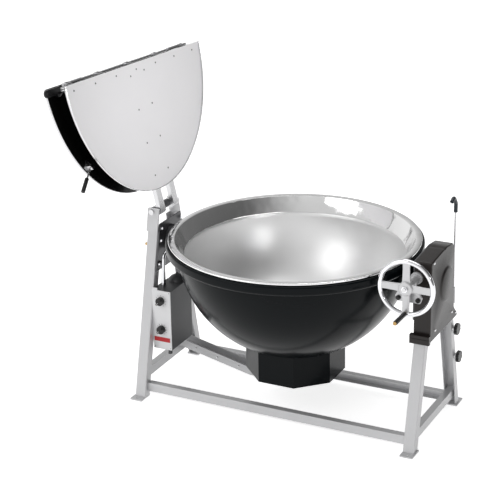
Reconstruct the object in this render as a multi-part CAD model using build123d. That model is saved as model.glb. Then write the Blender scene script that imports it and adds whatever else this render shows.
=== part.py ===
from build123d import *
import os
from math import atan, cos, degrees, hypot, pi, radians, sin, sqrt

# Tilting jacketed kettle on two A-frames, with a two-fold lid and a worm-and-handwheel tilt.
# Frame: X runs along the trunnions, Y from front to back, Z up. The origin is on the floor
# under the middle of the kettle. Lengths are in millimetres and angles in degrees.

# --- driving dimensions: kettle -------------------------------------------------------------------
pan_radius = 465.0            # inside of the pan's spherical part
pan_wall = 3.0
band_flare = 35.0             # the mouth's radius beyond the sphere's
flange_width = 27.0
flange_lip = 6.0              # turned-down outer edge of the flange
pan_centre_drop = 14.0        # sphere centres below the rim
band_depth = 64.0             # polished band between the rim and the weld
collar_stand = 11.0           # collar beyond the flange
collar_height = 49.0
jacket_gap = 27.0             # between the spheres of pan and jacket
jacket_wall = 3.0
cover_apothem = 195.0         # octagonal heater casing, centre to flat
cover_bottom = 153.0
cover_wall = 3.0

# --- driving dimensions: trunnions and tilt drive -------------------------------------------------
tilt_height = 660.0           # trunnions' axis above the floor
pad_radius = 55.0             # trunnion pad on the jacket
shaft_radius = 25.0
neck_wall = 9.0               # shoulder round the shaft
neck_step = 10.7              # neck beyond the pad
collar_clearance = 8.0        # collar above the necks
housing_gap = 21.0            # bearing housings beyond the collar
running_clearance = 0.05      # radial, shafts in bores
touch_gap = 0.3               # between parts that pass each other closely
side_plate = 6.0              # plates on the kettle side of the legs
housing_length = 30.0
housing_radius = 55.0
bush_wall = 6.0
bush_flange = 3.0
tooth_module = 2.5
wheel_teeth = 40
wheel_width = 16.0
worm_radius = 18.0            # pitch radius of the worm
worm_half = 30.0
worm_shaft_radius = 12.0
lug_length = 28.0
sleeve_radius = 18.0
drum_radius = 25.0
drum_length = 54.0
handwheel_radius = 120.0
handwheel_rim = 10.0          # radius of the rim's section
handwheel_y = -282.0
spoke_width = 26.0
spoke_depth = 9.0
hub_front = 14.0              # hub in front of the wheel's middle plane
hub_radius = 29.0
bracket_drop = 55.0           # the two bracket bolts below the wheel's axis
bracket_spread = 41.0
grip_length = 100.0
grip_radius = 9.5
grip_inset = 16.0             # crank pin inside the wheel's outer edge

# --- driving dimensions: frame --------------------------------------------------------------------
leg_width = 50.0
leg_depth = 38.0
leg_wall = 4.0
leg_foot_y = 266.0            # outer face of a leg at the floor
leg_lean = 0.230              # inward run per unit of height
foot_width = 56.0
foot_length = 78.0
foot_plate = 6.0
foot_toe = 33.0               # floor plate in front of the leg
anchor_hole = 12.0
anchor_edge = 16.0            # hole to the plate's front edge
rail_height = 40.0
rail_depth = 30.0
rail_wall = 3.0
rail_bottom = 23.0
rail_setback = 21.0
side_rail_height = 37.0
side_rail_width = 30.0
side_rail_left = 80.0         # undersides of the two side rails
side_rail_right = 44.0
bearing_below = 115.0         # bearing plates below and above the axis
bearing_above = 40.0

# --- driving dimensions: lid head and lid ---------------------------------------------------------
pivot_offset = 8.0            # lid's pivot beyond the middle of the legs
pivot_rise = 41.0             # and above the rim
lid_open = 103.4              # opening angle of the lid
head_plate_width = 54.0
head_plate = 6.0
head_over = 17.0              # head plates above the pivot
head_lap = 26.0               # and down the legs
leg_to_pivot = 57.0
cross_stand = 8.0             # cross plate above the legs
pivot_radius = 12.0
lid_overhang = 2.0            # lid beyond the collar
lid_sheet = 2.0
lid_lip = 8.0
lid_gap = 0.5                 # closed lid above the flange
fold_height = 43.5            # fold axis above the lid's top faces
fold_gap = 1.0
fold_pin_radius = 5.0
arm_width = 40.0
arm_height = 20.0
arm_wall = 2.5
arm_gap = 7.15                # arms inside the legs' faces
arm_end = -52.0               # far end of the arms when the lid is closed
hinge_inset = 80.0            # outer hinges from the lid's rim
lug_foot = 44.0
lid_turn = 3.7                # fold line against the trunnions' square, the disc on its arms
screw_head = 3.5              # radius of the screws' low heads
screw_rise = 1.2
screw_start = 45.0            # first screw of an arm from the fold line
screw_pitch = 145.0
screw_inset = 62.0            # last screw from the lid's rim
screw_row = 28.0              # row along the fold line
latch_inset = 34.0            # latch stud from the lid's rim
latch_reach = 92.0
latch_x = -13.0
latch_rise = 40.0             # latch above the lid, level with the fold
handle_angle = 43.0           # from the front end of the fold line
handle_reach = 103.0          # beyond the lid's rim
handle_length = 68.0

# --- driving dimensions: controls, services and gear cover ----------------------------------------
box_width = 88.0
box_height = 271.0
box_drop = 69.0               # box below the bearing plate
box_front = -168.0
box_back = 20.0
box_sheet = 2.0
panel_sheet = 3.0
knob_rise = 93.0              # lower knob above the box's underside
knob_drop = 46.0              # upper knob below its top
knob_inset = 42.0             # knobs from the legs
knob_radius = 18.0
knob_length = 18.0
channel_width = 60.0
channel_height = 36.0
channel_wall = 3.0
channel_y = 80.0
channel_low = 82.0            # top edge of the level part
channel_bend_x = -246.0
channel_end_x = -120.0
channel_foot = 56.0           # support to the rear rail, from the bend
channel_foot_width = 25.0
channel_rise = 0.2258         # climb of the channel per unit of run
pipe_radius = 7.0
conduit_radius = 4.0
conduit_inset = 17.44         # conduit inside the legs' centre lines
pipe_inset = 27.0             # pipe from the legs
cover_stand = 21.0            # gear cover beyond the legs
cover_shell = 3.0
cover_below = 205.0           # its lower edge below the axis
cover_front_rise = 72.0       # its front, crown and back above the worm
cover_crown_rise = 124.0
cover_back_rise = 68.0
cover_crown_y = -15.0
cover_tuck = 13.35            # its back edge inside the leg's face
strap_depth = 21.0
valve_drop = 66.0             # upper valve below the cover
valve_pitch = 138.0
valve_knob_radius = 25.0
valve_knob_length = 14.0
rod_stand = 12.0              # upright rod beyond the leg
rod_lean_gap = 7.1            # and towards the middle from the leg's centre line
rod_radius = 4.0
rod_drop = 130.0              # its foot below the axis
rod_length = 400.0

# --- derived places -------------------------------------------------------------------------------
mouth_radius = pan_radius + band_flare
flange_radius = mouth_radius + flange_width
collar_radius = flange_radius + collar_stand
neck_radius = shaft_radius + neck_wall
rim_height = tilt_height + neck_radius + collar_clearance + collar_height + pan_wall
collar_top = rim_height - pan_wall
collar_bottom = collar_top - collar_height
bowl_centre = rim_height - pan_centre_drop
jacket_inner = pan_radius + pan_wall + jacket_gap - jacket_wall
jacket_radius = pan_radius + pan_wall + jacket_gap
weld_z = rim_height - band_depth
housing_face = collar_radius + housing_gap
leg_side = housing_face + housing_length + side_plate    # kettle side of the legs
leg_x = leg_side + leg_width / 2                         # middle of a leg
leg_outside = leg_side + leg_width
neck_end = housing_face - bush_flange - touch_gap
pad_end = neck_end - neck_step
pad_face = sqrt(jacket_radius ** 2 - (bowl_centre - tilt_height) ** 2)
wheel_pitch = tooth_module * wheel_teeth / 2
wheel_tip = wheel_pitch + tooth_module
wheel_x = leg_side + 2
worm_x = wheel_x + wheel_width / 2
worm_z = tilt_height + wheel_pitch + worm_radius
worm_tip = worm_z - tilt_height - wheel_tip - touch_gap
lug_near = worm_half + 2
lug_far = lug_near + lug_length
sleeve_front = handwheel_y + 20
grip_orbit = handwheel_radius - grip_inset
bearing_bottom = tilt_height - bearing_below
bearing_top = tilt_height + bearing_above
foot_front = leg_foot_y + foot_toe
pivot_x = -leg_x - pivot_offset
pivot_z = rim_height + pivot_rise
leg_top_left = pivot_z - leg_to_pivot
leg_top_right = bearing_top
head_bottom = leg_top_left - head_lap
head_top = pivot_z + head_over
cross_top = leg_top_left + cross_stand
lean_angle = degrees(atan(leg_lean))
lean_scale = 1 / cos(radians(lean_angle))
cover_outer_x = leg_outside + cover_stand
cover_low = tilt_height - cover_below
valve_high = cover_low - valve_drop
valve_heights = (valve_high - valve_pitch, valve_high)
arm_y = leg_foot_y - leg_lean * pivot_z - arm_gap - arm_width / 2
cover_back_y = leg_foot_y - leg_lean * cover_low - cover_tuck
cover_front_y = -(leg_foot_y - leg_lean * cover_low + touch_gap + cover_shell)
lid_under = rim_height + lid_gap
lid_top = lid_under + lid_sheet
fold_z = lid_top + fold_height
lid_radius = collar_radius + lid_overhang
hinge_y = [(lid_radius - hinge_inset) * i / 2 for i in range(-2, 3)]
latch_pivot_y = latch_inset - lid_radius
handle_end = lid_radius + handle_reach
box_left = -leg_side
box_right = box_left + box_width
box_top = bearing_bottom - box_drop
box_bottom = box_top - box_height
knob_x = box_left + knob_inset
knob_heights = (box_bottom + knob_rise, box_top - knob_drop)
pipe_x = box_left + pipe_inset
rod_x = leg_outside + rod_stand
rod_low = tilt_height - rod_drop
rod_top = rod_low + rod_length
rod_y = leg_foot_y - leg_lean * rod_low - leg_depth / 2 - rod_lean_gap


# --- helpers --------------------------------------------------------------------------------------
def block(x0, x1, y0, y1, z0, z1):
    """Box between two corners."""
    size = Box(abs(x1 - x0), abs(y1 - y0), abs(z1 - z0))
    return Pos((x0 + x1) / 2, (y0 + y1) / 2, (z0 + z1) / 2) * size


def rod(axis, radius, start, end, a, b):
    """Round bar along one axis; a and b are its place on the other two, in X, Y, Z order."""
    bar = Cylinder(radius, abs(end - start))
    middle = (start + end) / 2
    if axis == "X":
        return Pos(middle, a, b) * Rot(0, 90, 0) * bar
    if axis == "Y":
        return Pos(a, middle, b) * Rot(90, 0, 0) * bar
    return Pos(a, b, middle) * bar


def spun(*edges):
    """Solid of revolution about Z of a closed outline in the XZ plane."""
    return revolve(Plane.XZ * make_face(Curve() + list(edges)), axis=Axis.Z)


def prism(axis, points, start, end):
    """Prism of a YZ outline along X, or of an XZ outline along Y."""
    face = make_face(Polyline(*points, close=True))
    if axis == "X":
        return Pos(min(start, end), 0, 0) * extrude(Plane.YZ * face, abs(end - start))
    return Pos(0, max(start, end), 0) * extrude(Plane.XZ * face, abs(end - start))


def round_corner(face, x, y, radius):
    """Fillet the corner of a flat face that is nearest to a point."""
    return fillet(min(face.vertices(), key=lambda v: hypot(v.X - x, v.Y - y)), radius)


def bowl_sphere(radius):
    return Pos(0, 0, bowl_centre) * Sphere(radius)


def leg_face(z):
    """Distance from the middle plane to a leg's outer face at height z."""
    return leg_foot_y - leg_lean * z


def leg_middle(z):
    return leg_face(z) - leg_depth / 2


def mirrored(shape):
    return mirror(shape, about=Plane.XZ)


def opened(shape):
    """From the closed lid to the lid standing open."""
    return Pos(pivot_x, 0, pivot_z) * Rot(0, -lid_open, 0) * Pos(-pivot_x, 0, -pivot_z) * shape


def folded(shape):
    """From the unfolded free half to the half folded over the other."""
    return Pos(0, 0, fold_z) * Rot(0, -180, 0) * Pos(0, 0, -fold_z) * shape


def turned(shape):
    """Turn of the lid's disc on its arms."""
    return Rot(0, 0, lid_turn) * shape


def save(name, *solids):
    shape = solids[0] if len(solids) == 1 else Compound(children=list(solids))
    export_step(shape, f"parts/{name}.step")


# --- kettle ---------------------------------------------------------------------------------------
def inner_pan():
    """Spun pan: spherical bottom, flared band above the weld, flat flange with a turned lip."""
    outer = pan_radius + pan_wall
    inside_weld = sqrt(pan_radius ** 2 - (bowl_centre - weld_z) ** 2)
    outside_weld = sqrt(outer ** 2 - (bowl_centre - weld_z) ** 2)
    middle = radians(45)
    under = rim_height - pan_wall
    lip = rim_height - flange_lip
    return spun(
        Line((0, bowl_centre - outer), (0, bowl_centre - pan_radius)),
        ThreePointArc((0, bowl_centre - pan_radius),
                      (pan_radius * sin(middle), bowl_centre - pan_radius * cos(middle)),
                      (inside_weld, weld_z)),
        Polyline((inside_weld, weld_z), (mouth_radius, rim_height), (flange_radius, rim_height),
                 (flange_radius, lip), (flange_radius - pan_wall, lip),
                 (flange_radius - pan_wall, under), (mouth_radius + pan_wall, under),
                 (outside_weld, weld_z)),
        ThreePointArc((outside_weld, weld_z),
                      (outer * sin(middle), bowl_centre - outer * cos(middle)),
                      (0, bowl_centre - outer)))


def rim_collar():
    """Rounded band under the flange; the jacket hangs from its foot."""
    seat_in = mouth_radius + pan_wall + 2
    seat_out = flange_radius - pan_wall - touch_gap
    foot_in = jacket_inner - 4
    inside_top = collar_top - 4
    outline = make_face(Polyline(
        (seat_in, collar_top), (seat_out, collar_top), (seat_out, collar_top - 5),
        (collar_radius, collar_top - 9), (collar_radius, collar_bottom),
        (foot_in, collar_bottom), (foot_in, collar_top - 24), (seat_in, collar_top - 5),
        close=True))
    inside = make_face(Polyline(
        (foot_in - 9, collar_bottom + 3), (collar_radius - 3, collar_bottom + 3),
        (collar_radius - 3, collar_top - 12.5), (seat_out - 3, collar_top - 8.5),
        (seat_out - 3, inside_top), (foot_in - 9, inside_top), close=True))
    outline = round_corner(outline, collar_radius, collar_top - 9, 9)
    outline = round_corner(outline, collar_radius, collar_bottom, 14)
    inside = round_corner(inside, collar_radius - 3, collar_top - 12.5, 6)
    inside = round_corner(inside, collar_radius - 3, collar_bottom + 3, 11)
    return revolve(Plane.XZ * (outline - inside), axis=Axis.Z)


def steam_jacket():
    """Dished jacket shell around the pan, closed at the top by the collar."""
    top_out = sqrt(jacket_radius ** 2 - (bowl_centre - collar_bottom) ** 2)
    top_in = sqrt(jacket_inner ** 2 - (bowl_centre - collar_bottom) ** 2)
    middle = radians(45)
    return spun(
        Line((0, bowl_centre - jacket_radius), (0, bowl_centre - jacket_inner)),
        ThreePointArc((0, bowl_centre - jacket_inner),
                      (jacket_inner * sin(middle), bowl_centre - jacket_inner * cos(middle)),
                      (top_in, collar_bottom)),
        Line((top_in, collar_bottom), (top_out, collar_bottom)),
        ThreePointArc((top_out, collar_bottom),
                      (jacket_radius * sin(middle), bowl_centre - jacket_radius * cos(middle)),
                      (0, bowl_centre - jacket_radius)))


def octagon(apothem):
    corner = apothem / cos(pi / 8)
    points = [(corner * cos(pi / 8 + i * pi / 4), corner * sin(pi / 8 + i * pi / 4))
              for i in range(8)]
    return make_face(Polyline(*points, close=True))


def heater_casing():
    """Octagonal sheet casing under the jacket, cut to the jacket's curve."""
    height = bowl_centre - cover_bottom
    casing = Pos(0, 0, cover_bottom) * extrude(octagon(cover_apothem), height)
    casing -= Pos(0, 0, cover_bottom + cover_wall) * extrude(
        octagon(cover_apothem - cover_wall), height)
    for i in range(8):
        angle = radians(45 * i)
        reach = cover_apothem - 14
        casing += rod("Z", 5, cover_bottom - 3, cover_bottom + 1,
                      reach * cos(angle), reach * sin(angle))
    return casing - bowl_sphere(jacket_radius)


def trunnion(side, end):
    """Pad seated on the jacket, with the shaft that turns in the frame's bush."""
    body = rod("X", pad_radius, side * (pad_face - 60), side * pad_end, 0, tilt_height)
    body -= block(-pad_end - 1, pad_end + 1, -pad_radius, pad_radius, collar_bottom,
                  collar_bottom + pad_radius)
    body += rod("X", neck_radius, side * pad_face, side * neck_end, 0, tilt_height)
    body += rod("X", shaft_radius, side * pad_face, side * end, 0, tilt_height)
    return body - bowl_sphere(jacket_radius)


def worm_wheel():
    """Worm wheel keyed on the right trunnion."""
    root = wheel_pitch - 1.25 * tooth_module
    step = 2 * pi / wheel_teeth
    tooth = make_face(Polyline((root - 1, -step * root * 0.30), (wheel_tip, -step * wheel_tip * 0.15),
                               (wheel_tip, step * wheel_tip * 0.15), (root - 1, step * root * 0.30),
                               close=True))
    blank = Circle(root) + [Rot(0, 0, 360 / wheel_teeth * i) * tooth for i in range(wheel_teeth)]
    blank -= Circle(shaft_radius)
    return Pos(wheel_x, 0, tilt_height) * Rot(0, 90, 0) * extrude(blank, wheel_width)


# --- frame ----------------------------------------------------------------------------------------
def leg(side, top):
    """Cold-bent channel leg of the front side, leaning to the middle, its web outwards."""
    profile = Rectangle(leg_width, leg_depth)
    profile = fillet([v for v in profile.vertices() if v.Y < 0], 5)
    profile -= Pos(0, leg_wall) * Rectangle(leg_width - 2 * leg_wall, leg_depth)
    bar = extrude(Pos(0, leg_depth / 2) * profile, top + 200)
    bar = Pos(side * leg_x, -leg_foot_y, 0) * Rot(-lean_angle, 0, 0) * Pos(0, 0, -60) * bar
    return bar & block(side * leg_x - leg_width, side * leg_x + leg_width,
                       -leg_foot_y - 100, 0, foot_plate, top)


def foot(side):
    """Floor plate welded under a front leg, with its anchor hole in front of the leg."""
    middle = side * (leg_x + (foot_width - leg_width) / 2)
    plate = block(middle - foot_width / 2, middle + foot_width / 2,
                  -foot_front, -foot_front + foot_length, 0, foot_plate)
    plate = fillet(plate.edges().filter_by(Axis.Z), 3)
    return plate - rod("Z", anchor_hole / 2, -1, foot_plate + 1, middle, -foot_front + anchor_edge)


def long_rail():
    """Front rail: channel between the legs, web in front."""
    web = leg_face(rail_bottom + rail_height / 2) - rail_setback
    outer = block(-leg_side, leg_side, -web, -web + rail_depth, rail_bottom,
                  rail_bottom + rail_height)
    outer = fillet(outer.edges().filter_by(Axis.X).group_by(Axis.Y)[0], 4)
    return outer - block(-leg_side - 1, leg_side + 1, -web + rail_wall, -web + rail_depth + 1,
                         rail_bottom + rail_wall, rail_bottom + rail_height - rail_wall)


def side_rail(side, bottom):
    """Tube between the front and rear leg of one A-frame, inside their channels."""
    x0 = side * leg_x - side_rail_width / 2
    x1 = x0 + side_rail_width
    top = bottom + side_rail_height
    low = leg_face(bottom) - leg_wall * lean_scale
    high = leg_face(top) - leg_wall * lean_scale
    outer = prism("X", [(-low, bottom), (low, bottom), (high, top), (-high, top)], x0, x1)
    return outer - block(x0 + rail_wall, x1 - rail_wall, -400, 400, bottom + rail_wall,
                         top - rail_wall)


def housing(side):
    """Bearing housing on the kettle side of a bearing plate."""
    body = rod("X", housing_radius, side * housing_face, side * (leg_side - side_plate), 0,
               tilt_height)
    return fillet(body.edges().filter_by(GeomType.CIRCLE), 2)


def bush_bore(side):
    return rod("X", shaft_radius + bush_wall, side * (housing_face - 20), side * (leg_side + 20), 0,
               tilt_height)


def bearing_plate_left():
    """Plate on the kettle side of both left legs, with the trunnion's bearing housing."""
    low = leg_face(bearing_bottom) - 4
    high = leg_face(bearing_top) - 4
    plate = prism("X", [(-low, bearing_bottom), (low, bearing_bottom), (high, bearing_top),
                        (-high, bearing_top)], -leg_side, -leg_side + side_plate)
    return plate + housing(-1) - bush_bore(-1)


def gear_head():
    """Right bearing plate with the housing and two lugs that carry the worm shaft."""
    x0 = leg_side - side_plate
    plate = Pos(x0, 0, 0) * extrude(Plane.YZ * cover_outline(1), side_plate)
    plate -= block(x0 - 1, leg_side + 1, -300, 300, cover_low - 10, bearing_bottom)
    plate -= rod("Y", sleeve_radius, -300, -lug_far, worm_x, worm_z)
    plate -= rod("Y", drum_radius, -300, cover_front_y - 8 + drum_length, worm_x, worm_z)
    plate -= rod("Y", worm_tip + 1, -lug_near, lug_near, worm_x, worm_z)
    for side in (-1, 1):
        lug = block(leg_side - 1, worm_x, side * lug_near, side * lug_far, worm_z - 14, worm_z + 14)
        plate += lug + rod("Y", 14, side * lug_near, side * lug_far, worm_x, worm_z)
    plate = plate + housing(1) - bush_bore(1)
    return plate - rod("Y", worm_shaft_radius + running_clearance, -300, 300, worm_x, worm_z)


def bush(side):
    """Flanged bronze bush for a trunnion shaft."""
    body = rod("X", shaft_radius + bush_wall, side * housing_face, side * leg_side, 0, tilt_height)
    body += rod("X", shaft_radius + bush_wall + 8, side * (housing_face - bush_flange),
                side * housing_face, 0, tilt_height)
    return body - rod("X", shaft_radius + running_clearance, side * (housing_face - 20),
                      side * (leg_side + 20), 0, tilt_height)


def sleeve():
    """Fixed sleeve around the worm shaft, with the drum in the cover's front notch."""
    body = rod("Y", sleeve_radius, sleeve_front, -lug_far, worm_x, worm_z)
    body += rod("Y", drum_radius, cover_front_y - 8, cover_front_y - 8 + drum_length, worm_x, worm_z)
    return body - rod("Y", worm_shaft_radius + running_clearance, sleeve_front - 5, -lug_far + 5,
                      worm_x, worm_z)


def wheel_bracket():
    """Cast bracket on the sleeve behind the handwheel's hub."""
    y0 = sleeve_front + 6
    wide = bracket_spread + 14
    plate = prism("Y", [(worm_x - 24, worm_z + 8), (worm_x + 24, worm_z + 8),
                        (worm_x + wide, worm_z - bracket_drop + 8),
                        (worm_x + wide - 6, worm_z - bracket_drop - 14),
                        (worm_x - wide + 6, worm_z - bracket_drop - 14),
                        (worm_x - wide, worm_z - bracket_drop + 8)], y0, y0 + 10)
    plate = fillet(plate.edges().filter_by(Axis.Y), 5)
    plate += rod("Y", sleeve_radius + 9, y0, y0 + 16, worm_x, worm_z)
    return plate - rod("Y", sleeve_radius, y0 - 5, y0 + 20, worm_x, worm_z)


def bracket_bolts():
    """Knurled bolts at the lower corners of the bracket."""
    y0 = sleeve_front + 6
    bolts = []
    for side in (-1, 1):
        x = worm_x + side * bracket_spread
        z = worm_z - bracket_drop
        bolts.append(rod("Y", 10, y0 - 6, y0, x, z) + rod("Y", 6.5, y0 - 11, y0 - 6, x, z))
    return bolts


# --- lid head -------------------------------------------------------------------------------------
def head_plate_front():
    """Plate on the face of the front left leg, leaning with it, bored for the lid's pivot."""
    middle = (head_top + head_bottom) / 2
    plate = Box(head_plate_width, head_plate, (head_top - head_bottom) * lean_scale)
    plate = fillet(plate.edges().filter_by(Axis.Y), 5)
    y = leg_face(middle) + head_plate / 2 * lean_scale
    plate = Pos(-leg_x - 1, -y, middle) * Rot(-lean_angle, 0, 0) * plate
    return plate - rod("Y", pivot_radius + running_clearance, -300, 0, pivot_x, pivot_z)


def cross_plate():
    """Plate across the kettle side of both left legs, above the bearing plate."""
    low = leg_face(bearing_top) - 4
    high = leg_face(cross_top) - 4
    return prism("X", [(-low, bearing_top), (low, bearing_top), (high, cross_top),
                       (-high, cross_top)], -leg_side, -leg_side + side_plate)


def head_bolts():
    """Hexagon bolts of the left head's plates, into the legs."""
    x0 = -leg_side + side_plate
    bolts = []
    for z in (cross_top - 22, bearing_top - 28, bearing_bottom + 27):
        for side in (-1, 1):
            head = extrude(Plane.YZ * RegularPolygon(8, 6), 7)
            bolts.append(Pos(x0, side * leg_middle(z), z) * (head + rod("X", 5, 0, 10, 0, 0)))
    return bolts


def pivot_shaft():
    """Shaft that the lid's arms are clamped to; it turns in the head plates."""
    end = leg_face(pivot_z) + (head_plate + pivot_radius * leg_lean) * lean_scale + 4
    return rod("Y", pivot_radius, -end, end, pivot_x, pivot_z)


# --- lid ------------------------------------------------------------------------------------------
def half_disc(side, radius, z0, z1, back_off):
    """Half disc on one side of the fold line."""
    disc = Pos(0, 0, z0) * extrude(Circle(radius), z1 - z0)
    return disc & block(side * back_off, side * (radius + 10), -radius - 10, radius + 10,
                        z0 - 1, z1 + 1)


def lid_half(side):
    """Sheet half of the lid with its turned-down rim."""
    low = lid_under - lid_lip
    rim = half_disc(side, lid_radius, low, lid_under, fold_gap / 2)
    rim -= Pos(0, 0, low - 1) * extrude(Circle(lid_radius - lid_sheet), lid_lip + 1)
    return half_disc(side, lid_radius, lid_under, lid_top, fold_gap / 2) + rim


def lid_arm(side):
    """Rectangular tube arm on the fixed half, with its lug round the pivot shaft."""
    y0 = side * arm_y - arm_width / 2
    y1 = y0 + arm_width
    start = pivot_x - 18
    outline = [(start, lid_top + 8), (start + 8, lid_top), (arm_end, lid_top),
               (arm_end, lid_top + arm_height), (start, lid_top + arm_height)]
    tube = prism("Y", outline, y0, y1)
    tube -= block(pivot_x + 30, arm_end + 1, y0 + arm_wall, y1 - arm_wall,
                  lid_top + arm_wall, lid_top + arm_height - arm_wall)
    lug = block(pivot_x - 18, pivot_x + 18, y0, y1, lid_top + arm_height - 2, pivot_z)
    lug += rod("Y", 18, y0, y1, pivot_x, pivot_z)
    return tube + lug - rod("Y", pivot_radius, y0 - 1, y1 + 1, pivot_x, pivot_z)


def fold_lug(side, y, thickness):
    """Upright hinge lug on one half, reaching to the fold axis."""
    foot_in = side * (fold_gap / 2 + 1)
    foot_out = side * (fold_gap / 2 + lug_foot)
    outline = [(foot_in, lid_top), (foot_out, lid_top), (foot_out, lid_top + 5),
               (side * 9, fold_z), (-side * 9, fold_z), (foot_in, lid_top + 16)]
    lug = prism("Y", outline, y - thickness / 2, y + thickness / 2)
    lug += rod("Y", 9, y - thickness / 2, y + thickness / 2, 0, fold_z)
    return lug - rod("Y", fold_pin_radius + (running_clearance if side > 0 else 0),
                     y - 20, y + 20, 0, fold_z)


def fixed_lugs():
    return [fold_lug(-1, y + cheek * 10, 6) for y in hinge_y for cheek in (-1, 1)]


def free_lugs():
    return [fold_lug(1, y, 2 * (7 - touch_gap)) for y in hinge_y]


def fold_pin():
    """Long hinge pin with two thicker spacer lengths."""
    pin = rod("Y", fold_pin_radius, hinge_y[0] - 20, hinge_y[-1] + 50, 0, fold_z)
    for end in (-1, 1):
        pin += rod("Y", 8.5, end * (hinge_y[-1] - 16), end * (hinge_y[-1] - 112), 0, fold_z)
    return pin


def lid_screws():
    """Low screw heads on the inner face of the fixed half."""
    along_arm = [screw_start + screw_pitch * i for i in range(3)] + [lid_radius - screw_inset]
    spots = [(-t, side * arm_y) for t in along_arm for side in (-1, 1)]
    low = lid_under - screw_rise
    heads = [rod("Z", screw_head, low, lid_under, x, y) for x, y in spots]
    pitch = (lid_radius - screw_inset) / 3
    row = [rod("Z", screw_head, low, lid_under, -screw_row, pitch * i) for i in range(-3, 4)]
    return heads + [turned(head) for head in row]


def latch_post():
    """Stud on the fixed half that the fold latch turns on."""
    top = lid_top + latch_rise
    post = rod("Z", 9, lid_top, top, latch_x, latch_pivot_y)
    return post + rod("Z", 5, top, top + 10, latch_x, latch_pivot_y)


def latch_bar():
    """Flat latch with round ends; it swings over the fold line."""
    z0 = lid_top + latch_rise + touch_gap
    tip = latch_pivot_y - latch_reach
    bar = block(latch_x - 15, latch_x + 15, tip, latch_pivot_y, z0, z0 + 7)
    for y in (tip, latch_pivot_y):
        bar += rod("Z", 15, z0, z0 + 7, latch_x, y)
    bar -= rod("Z", 4.5, z0 - 1, z0 + 8, latch_x, tip)
    return bar - rod("Z", 5 + running_clearance, z0 - 1, z0 + 8, latch_x, latch_pivot_y)


def on_handle(shape):
    """Turn a shape made along +X to the handle's place on the free half."""
    return Rot(0, 0, handle_angle - 90) * shape


def handle_bracket():
    """Small bracket on the free half near its rim."""
    rim = lid_radius
    bracket = block(rim - 46, rim - 6, -16, 16, lid_top, lid_top + 4)
    bracket += block(rim - 30, rim - 14, -13, 13, lid_top + 4, lid_top + 30)
    bracket = fillet(bracket.edges().filter_by(Axis.Z), 3)
    return on_handle(bracket - rod("X", 4, rim - 60, rim + 10, 0, lid_top + 20))


def handle_rod():
    return on_handle(rod("X", 4, lid_radius - 32, handle_end - 8, 0, lid_top + 20))


def handle_grip():
    grip = rod("X", 8.5, handle_end - handle_length, handle_end, 0, lid_top + 20)
    grip = fillet(grip.edges().filter_by(GeomType.CIRCLE), 3)
    return on_handle(grip - rod("X", 4, handle_end - handle_length - 1, handle_end - 8, 0,
                                lid_top + 20))


# --- handwheel ------------------------------------------------------------------------------------
def handwheel():
    """Cast handwheel with four flat spokes and a hub."""
    orbit = handwheel_radius - handwheel_rim
    back = sleeve_front - touch_gap
    wheel = Torus(orbit, handwheel_rim) + Box(2 * orbit, spoke_width, spoke_depth) + Box(
        spoke_width, 2 * orbit, spoke_depth)
    wheel = Pos(worm_x, handwheel_y, worm_z) * Rot(90, 0, 0) * wheel
    wheel += rod("Y", hub_radius, handwheel_y - hub_front, back, worm_x, worm_z)
    wheel -= rod("Y", worm_shaft_radius, handwheel_y - 40, back + 20, worm_x, worm_z)
    return wheel - rod("Y", 6, handwheel_y - 30, handwheel_y + 30, worm_x, worm_z - grip_orbit)


def worm_shaft():
    """Worm and its shaft; the hub is held on it by a nut."""
    front = handwheel_y - hub_front
    shaft = rod("Y", worm_shaft_radius, front, lug_far + 6, worm_x, worm_z)
    shaft += rod("Y", 8, front - 12, front, worm_x, worm_z)
    for i in range(-3, 4):
        y = i * pi * tooth_module
        shaft += rod("Y", worm_tip, y - 1.8, y + 1.8, worm_x, worm_z)
    return shaft


def hub_nut():
    front = handwheel_y - hub_front
    nut = Pos(worm_x, front, worm_z) * extrude(Plane.XZ * RegularPolygon(13, 6), 8)
    return nut - rod("Y", 8, front - 20, front + 1, worm_x, worm_z)


def grip_front():
    return handwheel_y - handwheel_rim - touch_gap - grip_length


def crank_pin():
    """Pin riveted in the wheel's rim, on which the grip spins."""
    z = worm_z - grip_orbit
    pin = rod("Y", 6, grip_front() - 1, handwheel_y + handwheel_rim, worm_x, z)
    return pin + rod("Y", 7.5, grip_front() - 5, grip_front() - touch_gap, worm_x, z)


def crank_grip():
    z = worm_z - grip_orbit
    grip = rod("Y", grip_radius, grip_front(), grip_front() + grip_length, worm_x, z)
    grip = fillet(grip.edges().filter_by(GeomType.CIRCLE), 2)
    return grip - rod("Y", 6 + running_clearance, grip_front() - 5, handwheel_y, worm_x, z)


# --- gear cover -----------------------------------------------------------------------------------
def cover_outline(inset=0.0):
    """Side outline of the gear cover in the YZ plane."""
    points = [(cover_front_y, cover_low), (cover_front_y, worm_z + cover_front_rise),
              (cover_crown_y, worm_z + cover_crown_rise),
              (cover_back_y - 53, worm_z + cover_back_rise), (cover_back_y - 40, cover_low + 55),
              (cover_back_y, cover_low + 15), (cover_back_y, cover_low)]
    face = make_face(Polyline(*points, close=True))
    for index, radius in {1: 14, 2: 45, 3: 40, 4: 12, 5: 12}.items():
        face = round_corner(face, *points[index], radius)
    return offset(face, -inset) if inset else face


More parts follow.
